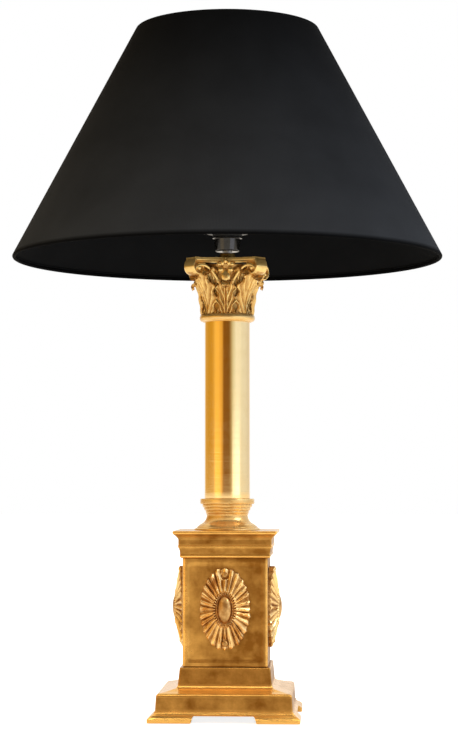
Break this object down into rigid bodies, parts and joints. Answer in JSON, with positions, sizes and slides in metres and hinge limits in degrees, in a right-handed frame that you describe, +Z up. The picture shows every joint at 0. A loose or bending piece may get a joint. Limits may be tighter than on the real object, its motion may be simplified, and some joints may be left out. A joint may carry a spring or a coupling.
{
  "type": "column table lamp",
  "caption": "Table lamp: square brass pedestal with oval rosettes, round column, leafy capital, small screw lampholder and a wide tapered fabric shade.",
  "frame": {"origin": "on the table, under the middle of the plinth", "axes": "+Z up the column, -Y towards the viewer in the picture, +X to the viewer's right"},
  "size_m": [0.45, 0.45, 0.7194],
  "materials": {
    "cast_brass": "satin, brushed and waxed",
    "turned_brass": "polished",
    "polished_tube": "mirror polished",
    "polished_casting": "polished with darker recesses",
    "thin_brass": "bright, formed from sheet",
    "plated_steel": "zinc plated",
    "black_bakelite": "gloss",
    "black_plastic": "satin",
    "white_ceramic": "glazed ceramic",
    "white_wire": "white powder coat",
    "black_fabric": "matt woven, laminated",
    "black_glass": "black vitrite glass",
    "lamp_cap_metal": "bright",
    "clear_glass": "clear",
    "filament": "yellow phosphor coat"
  },
  "bodies": {
    "lamp": {"plinth": "cast_brass", "base_plate": "plated_steel", "lead_bush": "turned_brass", "lead_bush_nut": "turned_brass", "tie_tube": "plated_steel", "bottom_washer": "plated_steel", "bottom_nut": "plated_steel", "pedestal_die": "cast_brass", "pedestal_cornice": "cast_brass", "rosette_front": "cast_brass", "rosette_right": "cast_brass", "rosette_back": "cast_brass", "rosette_left": "cast_brass", "rosette_pins": "turned_brass", "rosette_nuts": "turned_brass", "column_base": "turned_brass", "column_shaft": "polished_tube", "neck_ring": "turned_brass", "capital": "polished_casting", "locknut": "turned_brass", "holder_cap": "black_bakelite", "holder_skirt": "black_bakelite", "holder_insert": "white_ceramic", "screw_shell": "thin_brass", "contact_spring": "thin_brass", "terminal_screws": "plated_steel"},
    "shade_carrier": {"reducer_ring": "black_plastic"},
    "shade": {"shade_fitter_ring": "white_wire", "shade_arms": "white_wire", "shade_bottom_wire": "white_wire", "shade_top_wire": "white_wire", "shade_cover": "black_fabric"},
    "clamp_ring": {"clamp_ring": "black_bakelite"},
    "bulb_foot": {"lamp_contact": "plated_steel", "lamp_insulator": "black_glass"},
    "bulb": {"lamp_shell": "lamp_cap_metal", "lamp_glass": "clear_glass", "lamp_stem": "clear_glass", "lamp_filaments": "filament"}
  },
  "joints": [
    {"name": "shade_lift", "type": "slide", "parent": "lamp", "child": "shade_carrier", "axis": [0, 0, 1], "range_m": [0, 0.3]},
    {"name": "shade_turn", "type": "hinge", "parent": "shade_carrier", "child": "shade", "pos_m": [0, 0, 0.506], "axis": [0, 0, 1], "continuous": true},
    {"name": "clamp_ring_turn", "type": "hinge", "parent": "shade_carrier", "child": "clamp_ring", "pos_m": [0, 0, 0.51], "axis": [0, 0, 1], "range_deg": [0, 1440]},
    {"name": "bulb_climb", "type": "slide", "parent": "lamp", "child": "bulb_foot", "axis": [0, 0, 1], "range_m": [0, 0.0197]},
    {"name": "bulb_turn", "type": "hinge", "parent": "bulb_foot", "child": "bulb", "pos_m": [0, 0, 0.51], "axis": [0, 0, 1], "range_deg": [0, 2520]}
  ],
  "couplings": [
    {"joint": "bulb_turn", "follows": "bulb_climb", "rad_per_m": 2228.1}
  ]
}
